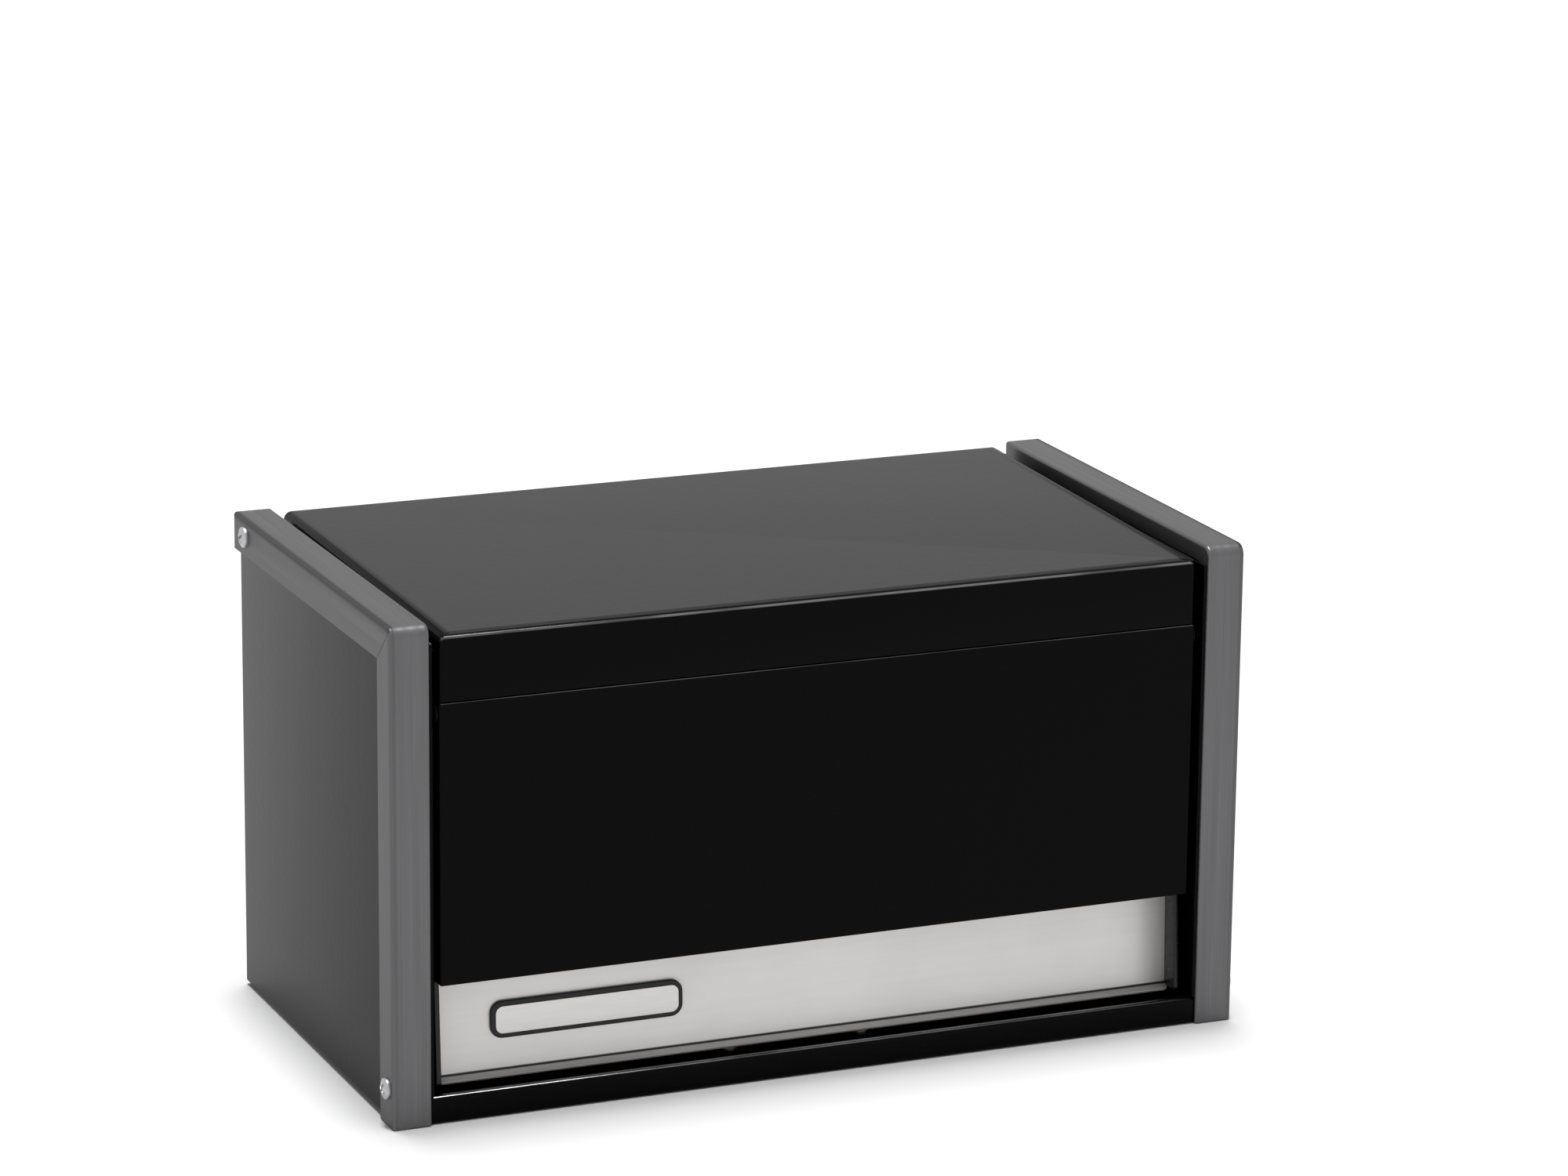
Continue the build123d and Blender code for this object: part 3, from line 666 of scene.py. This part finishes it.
def door_skin():
    """Rings of the face's outline: cap, quarter bend, then returns as deep as each side needs."""
    corners = [(-door_half, door_foot), (door_half, door_foot), (door_half, door_top), (-door_half, door_top)]
    angle = np.linspace(0, np.pi / 2, 11)
    insets = np.concatenate([door_bend * (1 - np.sin(angle)), [0, 0]])
    levels = np.concatenate([door_face + door_bend * (1 - np.cos(angle)),
                             [door_face + top_return, door_face + side_return]])
    grid = rings(corners, door_bend * corner_ease, insets, levels)[..., [0, 2, 1]]
    height = grid[-1, :, 2]
    next_height = np.roll(height, -1)
    along_top = (height > door_top - 1e-5) & (next_height > door_top - 1e-5)
    keep = np.ones((len(grid) - 1, grid.shape[1]), bool)
    keep[-1, along_top] = False
    # Painted highlight: extra coat on the door face's top bend.
    fold = np.concatenate([painted_bend_highlight(angle, 30, 75, 0.45), [0, 0]])[:, None] * (height > door_top - 1e-5)[None, :]
    face = mesh_of("face", grid, around=True, keep=keep, caps=(0,), fold=fold)
    back = rounded([(door_face + side_return, door_foot), strip_top + behind_strip, strip_bend + behind_strip],
                   recess_bend)
    recess = carried("recess", back, (-door_half, door_half))
    piece_of("door_skin", [face, recess], "door", ["door_panel"], enamel, wall=sheet, edge=cut_edge)


door_skin()


# Finger pull. A strip of brushed steel with a lip along its lower edge, closed at both ends by
# black glossy caps.

lip_corner = 0.0020
strip_fold = 0.0009
lip_painted_shade = 0.25
strip_edge_drop = 0.0007
cap_width = 0.0017
cap_front_top = 0.0060
cap_front_low = 0.0039
cap_corner = 0.0010
cap_edge = 0.0003
cap_heel = 0.0005
cap_back = 0.0003
steel_grey = (0.82, 0.80, 0.79)


def brushed_steel():
    """Bright steel brushed along X, lightly mottled, with dull smudges, and painted shade: a dark line in its fold and
    a darker lip.
    """
    material, tree, shader = finish_material("brushed_steel", steel_grey, metallic=0.35, specular=0.3)
    place = object_position(tree)
    split = node(tree, "ShaderNodeSeparateXYZ", {0: place})
    brushed = node(tree, "ShaderNodeCombineXYZ", {0: split.outputs[2], 1: split.outputs[0], 2: split.outputs[1]})
    lines = grouped(tree, drawn_lines, brushed.outputs[0], Across=2600.0, Along=24.0)
    skin = grouped(tree, coat_skin, place, Peel=330.0, Cloud=46.0, Speck=900.0)
    tone = node(tree, "ShaderNodeMath", {0: between(tree, skin["Cloud"], 0.96, 1.02, 0.3, 0.7),
                                         1: between(tree, lines["Broad"], 0.96, 1.03)}, operation="MULTIPLY")
    # Painted shade: the base colour falls almost to black where the fold mask is 1.
    fold = node(tree, "ShaderNodeAttribute", attribute_name="fold")
    painted_shade = node(tree, "ShaderNodeMath", {0: tone.outputs[0], 1: between(tree, fold.outputs["Fac"], 1, 0.02)},
                  operation="MULTIPLY")
    tree.links.new(shaded(tree, painted_shade.outputs[0], steel_grey), shader["Base Color"])
    rough = node(tree, "ShaderNodeMath", {0: between(tree, skin["Cloud"], 0.28, 0.36),
                                          1: between(tree, lines["Fine"], -0.05, 0.05)}, operation="ADD")
    tree.links.new(rough.outputs[0], shader["Roughness"])
    relief(tree, shader, lines["Fine"], 0.000008)
    return material


def black_moulding(name, specular):
    """Moulded black plastic with a semi-gloss skin."""
    material, tree, shader = finish_material(name, (0.004, 0.004, 0.0045), specular=specular)
    skin = grouped(tree, coat_skin, object_position(tree), Peel=1400.0, Cloud=120.0, Speck=3000.0)
    tree.links.new(between(tree, skin["Cloud"], 0.20, 0.34), shader["Roughness"])
    tree.links.new(blended(tree, skin["Speck"], (0.004, 0.004, 0.0045), (0.012, 0.012, 0.012)), shader["Base Color"])
    relief(tree, shader, skin["Peel"], 0.000012)
    return material


steel = brushed_steel()
plastic = black_moulding("black_gloss_plastic", 0.3)
dull_plastic = black_moulding("black_dull_plastic", 0.04)


def steel_strip():
    """Path down the strip, round the fold and out to the lip; the lip's ends are quarter circles.

    Within a corner's reach t of the lip's edge the half width is end - R + sqrt(R^2 - (R - t)^2).
    """
    end = strip_high.x
    top = strip_top - strip_up * strip_edge_drop
    edge = np.array([strip_low.y, strip_low.z + strip_sheet])
    path = rounded([top, strip_bend, edge], strip_fold, 7)
    reach = np.linspace(lip_corner, 0, 9)[:-1, None]
    outwards = (edge - path[-2]) / np.linalg.norm(edge - path[-2])
    path = np.concatenate([path[:-1], edge - outwards * reach, edge[None]])
    t = np.clip((path - edge) @ -outwards, 0, lip_corner)
    t[:-(len(reach) + 1)] = lip_corner
    half_width = end - lip_corner + np.sqrt(lip_corner ** 2 - (lip_corner - t) ** 2)
    # Painted shade mask: a dark line round the fold, and lighter shade along the lip.
    painted_shade = np.full(len(path), lip_painted_shade)
    painted_shade[:8] = [0, 0, 0.7, 1, 1, 1, 0.7, lip_painted_shade]
    strip = carried("strip", path, (-half_width, half_width), fold=painted_shade)
    piece_of("steel_strip", [strip], "door", ["pull_trim"], steel, wall=strip_sheet, edge=cut_edge)


def slab(corners, radii, thickness, soft):
    """Rings of a plate with both rims rounded by quarter circles, from w = 0 to its thickness."""
    angle = np.linspace(0, np.pi / 2, 5)
    insets = np.concatenate([soft * (1 - np.sin(angle)), soft * (1 - np.cos(angle))])
    levels = np.concatenate([soft * (1 - np.cos(angle)), thickness - soft * (1 - np.sin(angle))])
    return rings(corners, radii, insets, levels)


def end_cap(side, suffix):
    """Leaning plate that closes one end of the recess."""
    low_z = strip_low.z + strip_sheet
    corners = [(door_face + cap_front_low, low_z), (strip_bend[0], low_z), strip_bend + behind_strip,
               (strip_top[0] + behind_strip[0], door_foot), (door_face + cap_front_top, door_foot)]
    radii = np.array([cap_corner, cap_heel, cap_back, cap_back, cap_back])
    grid = placed(slab(corners, radii + cap_edge, cap_width, cap_edge), (-door_half, 0, 0), Y, Z, X)
    mesh = mesh_of("cap", mirrored(grid, side), around=True, caps=(0, -1))
    piece_of("end_cap_" + suffix, [mesh], "door", ["pull_end_cap_" + suffix], plastic)


steel_strip()
end_cap(-1, "left")
end_cap(1, "right")


# Nameplate. A plain black moulded plate stuck to the steel strip, with a blank satin inlay.

plate_low, plate_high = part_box("nameplate_base")
plate_height = 0.012
plate_thickness = 0.0016
plate_corner = 0.004
inlay_margin = 0.0016
inlay_thickness = 0.0004
plate_rim = 0.0004
inlay_rim = 0.00012
satin_grey = (0.62, 0.61, 0.60)


def satin_aluminium():
    """Satin foil with a fine sideways grain."""
    material, tree, shader = finish_material("satin_aluminium", satin_grey, metallic=0.9)
    split = node(tree, "ShaderNodeSeparateXYZ", {0: object_position(tree)})
    grain = node(tree, "ShaderNodeCombineXYZ", {0: split.outputs[2], 1: split.outputs[0], 2: split.outputs[1]})
    lines = grouped(tree, drawn_lines, grain.outputs[0], Across=4200.0, Along=60.0)
    tree.links.new(shaded(tree, between(tree, lines["Broad"], 0.92, 1.06), satin_grey), shader["Base Color"])
    tree.links.new(between(tree, lines["Fine"], 0.30, 0.46), shader["Roughness"])
    relief(tree, shader, lines["Fine"], 0.000006)
    return material


def on_strip(grid, middle, depth):
    """Local (u, v, w) on the leaning strip: u along X, v up the strip, w out of it."""
    up, out = np.array([0, *strip_up]), np.array([0, *strip_out])
    return placed(grid, np.array([middle, *strip_bend]) + out * depth, X, up, out)


def box_corners(width, low, high):
    return [(-width / 2, low), (width / 2, low), (width / 2, high), (-width / 2, high)]


def nameplate():
    width = plate_high.x - plate_low.x
    middle = (plate_high.x + plate_low.x) / 2
    rise = (plate_low.z - strip_bend[1]) / strip_up[1]
    base = slab(box_corners(width, rise, rise + plate_height), plate_corner, plate_thickness, plate_rim)
    mesh = mesh_of("plate", on_strip(base, middle, 0), around=True, caps=(0, -1))
    piece_of("nameplate", [mesh], "door", ["nameplate_base"], plastic)
    corners = box_corners(width - 2 * inlay_margin, rise + inlay_margin, rise + plate_height - inlay_margin)
    foil = slab(corners, plate_corner - inlay_margin, inlay_thickness, inlay_rim)
    mesh = mesh_of("foil", on_strip(foil, middle, plate_thickness), around=True, caps=(0, -1))
    piece_of("inlay", [mesh], "door", ["nameplate_inlay"], satin_aluminium())


nameplate()


# Door pivots. A stud welded to each inner wall, and enamelled with it, turns in a flanged black
# bush in the door's side flange.


def turned(profile, origin, axis, steps=40, closed=False):
    """Profile of (along, radius) points turned about an axis square to X or along it."""
    profile = np.asarray(profile, float)
    if closed:
        profile = np.concatenate([profile, profile[:1]])
    angle = np.linspace(0, 2 * np.pi, steps, endpoint=False)
    axis = np.asarray(axis, float) / np.linalg.norm(axis)
    u = Y if abs(axis[0]) > 0.9 else X
    v = np.cross(axis, u)
    radial = np.cos(angle)[:, None] * u + np.sin(angle)[:, None] * v
    grid = np.asarray(origin, float) + profile[:, None, :1] * axis + profile[:, None, 1:] * radial
    ends = () if closed else (0, -1)
    return mesh_of("turned", grid, around=True, caps=ends)


def stepped(*steps, soft=0.0002):
    """Profile of a turned bar: (start, end, radius) steps, with each outer corner chamfered."""
    points = []
    for start, end, radius in steps:
        points += [(start, radius - soft), (start + soft, radius), (end - soft, radius), (end, radius - soft)]
    return points


pivots = {joint["name"]: np.array(joint["pos_m"]) for joint in frame["joints"]}
hinge = pivots["door_hinge"]
wall_face = wall_outer - sheet
flange_face = door_half - sheet
hinge_pin = 0.0015
bush_bore = 0.00155
bush_barrel = 0.00235
bush_flange = 0.0032
bush_soft = 0.0002
stud_base_radius = 0.003
stud_base_height = 0.0008

for side, suffix in ((-1, "left"), (1, "right")):
    place = hinge * np.array([0, 1, 1])
    low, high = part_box("hinge_stud_" + suffix)
    tip = wall_face - min(abs(low.x), abs(high.x))
    steps = stepped((0, stud_base_height, stud_base_radius), (stud_base_height, tip, hinge_pin))
    stud = turned(steps, place + side * wall_face * X, -side * X)
    piece_of("pivot_stud_" + suffix, [stud], "case", ["hinge_stud_" + suffix], enamel)
    low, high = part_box("hinge_bush_" + suffix)
    flange, inner = max(abs(low.x), abs(high.x)), min(abs(low.x), abs(high.x))
    rim = flange - door_half
    profile = [(0, bush_bore), (0, bush_flange - bush_soft), (bush_soft, bush_flange), (rim, bush_flange),
               (rim, bush_barrel), (flange - inner - bush_soft, bush_barrel),
               (flange - inner, bush_barrel - bush_soft), (flange - inner, bush_bore)]
    bush = turned(profile, place + side * flange * X, -side * X, closed=True)
    piece_of("pivot_bush_" + suffix, [bush], "door", ["hinge_bush_" + suffix], dull_plastic)


# Gas springs. Satin black tube with a rolled-in mouth, chromed rod with a nylon piston, and black
# plastic eyes, hung between studs on the inner wall and on the door's side flange.

tube_radius = 0.003
tube_wall = 0.0005
tube_start = 0.005
plug_length = 0.002
mouth_gap = 0.005
rod_radius = 0.00125
eye_radius = 0.0034
eye_half = 0.002
eye_bore = 0.00155
stud_radius = 0.0015
shoulder_radius = 0.0025
stud_head_radius = 0.0022
eye_play = 0.0001
stud_head = 0.0008
piston_half = 0.00125
mouth_roll = 0.0006
mouth_lip = 0.0001
tube_soft = 0.0002
running_gap = 0.00005
gland_length = 0.0025
gland_soft = 0.0002
gland_nose = 0.0006
rod_bite = 0.0001


def satin_black():
    """Satin black tube paint."""
    material, tree, shader = finish_material("satin_black", (0.012, 0.012, 0.013), specular=0.35)
    skin = grouped(tree, coat_skin, object_position(tree), Peel=900.0, Cloud=90.0, Speck=3000.0)
    tree.links.new(between(tree, skin["Cloud"], 0.34, 0.48), shader["Roughness"])
    tree.links.new(blended(tree, skin["Speck"], (0.012, 0.012, 0.013), (0.03, 0.03, 0.03)), shader["Base Color"])
    relief(tree, shader, skin["Peel"], 0.00002)
    return material


def chromed():
    """Ground and chromed rod."""
    material, tree, shader = finish_material("chromed", (0.66, 0.67, 0.69), metallic=1.0)
    skin = grouped(tree, coat_skin, object_position(tree), Peel=2600.0, Cloud=400.0, Speck=5000.0)
    tree.links.new(between(tree, skin["Cloud"], 0.05, 0.14), shader["Roughness"])
    tree.links.new(blended(tree, skin["Cloud"], (0.62, 0.63, 0.65), (0.70, 0.71, 0.73)), shader["Base Color"])
    return material


def natural_nylon():
    """Milky white nylon, slightly waxy."""
    material, tree, shader = finish_material("natural_nylon", (0.72, 0.70, 0.64), roughness=0.45)
    skin = grouped(tree, coat_skin, object_position(tree), Peel=900.0, Cloud=160.0, Speck=3000.0)
    tree.links.new(blended(tree, skin["Cloud"], (0.68, 0.66, 0.60), (0.76, 0.74, 0.69)), shader["Base Color"])
    relief(tree, shader, skin["Peel"], 0.00001)
    return material


tube_paint = satin_black()
chrome = chromed()
nylon = natural_nylon()


def eye(centre):
    """Bored eye across the gas spring's axis, with chamfered rims."""
    soft = 0.0003
    profile = [(-eye_half, eye_bore + soft), (-eye_half, eye_radius - soft), (-eye_half + soft, eye_radius),
               (eye_half - soft, eye_radius), (eye_half, eye_radius - soft), (eye_half, eye_bore + soft),
               (eye_half - soft, eye_bore), (-eye_half + soft, eye_bore)]
    return turned(profile, centre, X, closed=True)


def strut_stud(centre, root):
    """Hexagon shoulder up to the eye, pin through it, and a peened head that traps it."""
    near = abs(root - centre[0])
    shoulder_end = near - eye_half - eye_play
    pin_end = near + eye_half + eye_play
    place, inwards = (root, centre[1], centre[2]), (np.sign(centre[0] - root), 0, 0)
    pin = stepped((shoulder_end, pin_end, stud_radius), (pin_end, pin_end + stud_head, stud_head_radius))
    return [turned(stepped((0, shoulder_end, shoulder_radius)), place, inwards, steps=6), turned(pin, place, inwards)]


def gas_spring(side, suffix):
    case_end, door_end = pivots["spring_tube_pivot_" + suffix], pivots["spring_rod_pivot_" + suffix]
    axis = (door_end - case_end) / np.linalg.norm(door_end - case_end)
    shut = np.linalg.norm(door_end - case_end)
    mouth = shut - mouth_gap
    inner = tube_radius - tube_wall
    roll = mouth_roll
    tube = [(tube_start, inner), (tube_start, tube_radius - tube_soft), (tube_start + tube_soft, tube_radius),
            (mouth - 3.2 * roll, tube_radius), (mouth - 2.6 * roll, tube_radius - tube_soft),
            (mouth - 2 * roll, tube_radius - tube_soft), (mouth - 1.4 * roll, tube_radius),
            (mouth - roll, tube_radius), (mouth, inner), (mouth - roll, inner - mouth_lip), (mouth - 2 * roll, inner)]
    plug = inner - running_gap
    neck = stepped((shoulder_radius + eye_play, tube_start + plug_length, plug))
    bore, barrel = rod_radius + running_gap, plug - gland_soft
    gland = [(mouth - gland_length, bore), (mouth - gland_length, barrel), (mouth - roll, barrel),
             (mouth - gland_soft, plug - gland_nose), (mouth - gland_soft, bore)]
    low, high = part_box("strut_piston_" + suffix)
    box_middle = (np.array(low) + np.array(high)) / 2
    piston_at = (box_middle - case_end) @ axis
    rod = [(piston_at + piston_half, rod_radius), (shut - eye_radius + rod_bite, rod_radius)]
    piston = stepped((piston_at - piston_half, piston_at + piston_half, plug))
    tube_body, rod_body = "spring_tube_" + suffix, "spring_rod_" + suffix
    piece_of("spring_tube_" + suffix, [turned(tube, case_end, axis, closed=True)], tube_body,
             ["strut_tube_" + suffix], tube_paint)
    piece_of("tube_eye_" + suffix, [eye(case_end), turned(neck, case_end, axis)], tube_body,
             ["strut_tube_end_" + suffix], plastic)
    piece_of("gland_" + suffix, [turned(gland, case_end, axis, closed=True)], tube_body,
             ["strut_gland_" + suffix], plastic)
    piece_of("spring_rod_" + suffix, [turned(rod, case_end, axis)], rod_body,
             ["strut_rod_" + suffix], chrome)
    piece_of("piston_" + suffix, [turned(piston, case_end, axis)], rod_body,
             ["strut_piston_" + suffix], nylon)
    piece_of("rod_eye_" + suffix, [eye(door_end)], rod_body, ["strut_rod_end_" + suffix], plastic)
    piece_of("case_stud_" + suffix, strut_stud(case_end, side * wall_face), "case",
             ["strut_case_stud_" + suffix], zinc)
    piece_of("door_stud_" + suffix, strut_stud(door_end, side * flange_face), "door",
             ["strut_door_stud_" + suffix], zinc)


gas_spring(-1, "left")
gas_spring(1, "right")


# Magnetic catch. Black moulded housing screwed to the floor, a magnet between two pole plates,
# and a steel strike riveted to the back of the door. Only the screw heads are made anew here.

screw_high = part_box("catch_screws")[1]
screw_radius = 0.0028
screw_height = 0.0015
heads = []
for side, turn in ((-1, 0.4), (1, 1.2)):
    seat = (side * (screw_high.x - screw_radius), screw_high.y - screw_radius, screw_high.z - screw_height)
    heads.append(mesh_of("head", placed(screw_dome(screw_radius, screw_height, turn), seat, X, Y, Z),
                         around=True, caps=(-1,)))
piece_of("catch_heads", heads, "case", ["catch_screws"], zinc)

for name, cad_node in frame["nodes"].items():
    if not cad_node.hide_render and name.startswith(("catch", "strike")):
        cad_node.data.materials.clear()
        cad_node.data.materials.append(plastic if name == "catch_housing" else zinc)


# The plain pale floor, the white room and two soft suns, whose shadows fall close to the cabinet.

floor_reach = 12.0
sun_spread = np.radians(15)
sun_distance = 3.0
sun_energy = 1.54
floor_white = 0.92
room_light = 0.3


def white_share(tree, dim, bright):
    """dim for light on matt surfaces, bright where the camera, gloss or glass looks."""
    path = node(tree, "ShaderNodeLightPath").outputs
    seen = node(tree, "ShaderNodeMath", {0: path["Is Camera Ray"], 1: path["Is Glossy Ray"]}, operation="ADD")
    shown = node(tree, "ShaderNodeMath", {0: seen.outputs[0], 1: path["Is Transmission Ray"]}, operation="ADD",
                 use_clamp=True)
    return between(tree, shown.outputs[0], dim, bright)


def pale_floor():
    """Plain matt floor."""
    mesh = bpy.data.meshes.new("studio_floor")
    r = floor_reach
    mesh.from_pydata([(-r, -r, 0), (r, -r, 0), (r, r, 0), (-r, r, 0)], [], [(0, 1, 2, 3)])
    floor = bpy.data.objects.new("studio_floor", mesh)
    bpy.context.scene.collection.objects.link(floor)
    material = finish_material("pale_floor", (floor_white,) * 3, specular=0.0, roughness=1.0)[0]
    mesh.materials.append(material)


def white_room():
    """World that is white to the camera, gloss and glass, and dimmer as light on matt surfaces."""
    world = bpy.data.worlds.new("white_room")
    bpy.context.scene.world = world
    world.use_nodes = True
    tree = world.node_tree
    tree.nodes.clear()
    light = node(tree, "ShaderNodeBackground", {"Strength": white_share(tree, room_light, 1.0)})
    light.inputs["Color"].default_value = (1, 1, 1, 1)
    out = node(tree, "ShaderNodeOutputWorld")
    tree.links.new(light.outputs[0], out.inputs["Surface"])


def overhead_sun(name, lean, energy):
    """Soft sun whose direction leans by these slopes along X and Y from straight overhead."""
    data = bpy.data.lights.new(name, "SUN")
    data.energy = energy
    data.angle = sun_spread
    direction = Vector((*lean, 1)).normalized()
    made = bpy.data.objects.new(name, data)
    made.location = direction * sun_distance
    made.rotation_euler = direction.to_track_quat("Z", "Y").to_euler()
    bpy.context.scene.collection.objects.link(made)


pale_floor()
white_room()
overhead_sun("overhead_near", (0.008, -0.03), sun_energy)
overhead_sun("overhead_far", (0.008, 0.15), sun_energy)


# Camera, solved from the cabinet's own corners in the photograph's 2000 x 1500 frame.

camera_place = Vector((-0.69573, -1.67499, 0.62735))
camera_view = Vector((0.37806658, 0.88861029, -0.25968717))
camera_roll = np.radians(0.6045)
camera_lens = 134.578


def add_camera():
    level = camera_view.cross(Vector((0, 0, 1))).normalized()
    down = camera_view.cross(level)
    right = np.cos(camera_roll) * level - np.sin(camera_roll) * down
    below = np.sin(camera_roll) * level + np.cos(camera_roll) * down
    turn = Matrix((right, -below, -camera_view)).transposed()
    data = bpy.data.cameras.new("camera")
    data.sensor_fit = "HORIZONTAL"
    data.sensor_width = 36.0
    data.lens = camera_lens
    camera = bpy.data.objects.new("camera", data)
    camera.matrix_world = Matrix.Translation(camera_place) @ turn.to_4x4()
    bpy.context.scene.collection.objects.link(camera)
    bpy.context.scene.camera = camera


add_camera()
bpy.context.scene.view_settings.view_transform = "Standard"
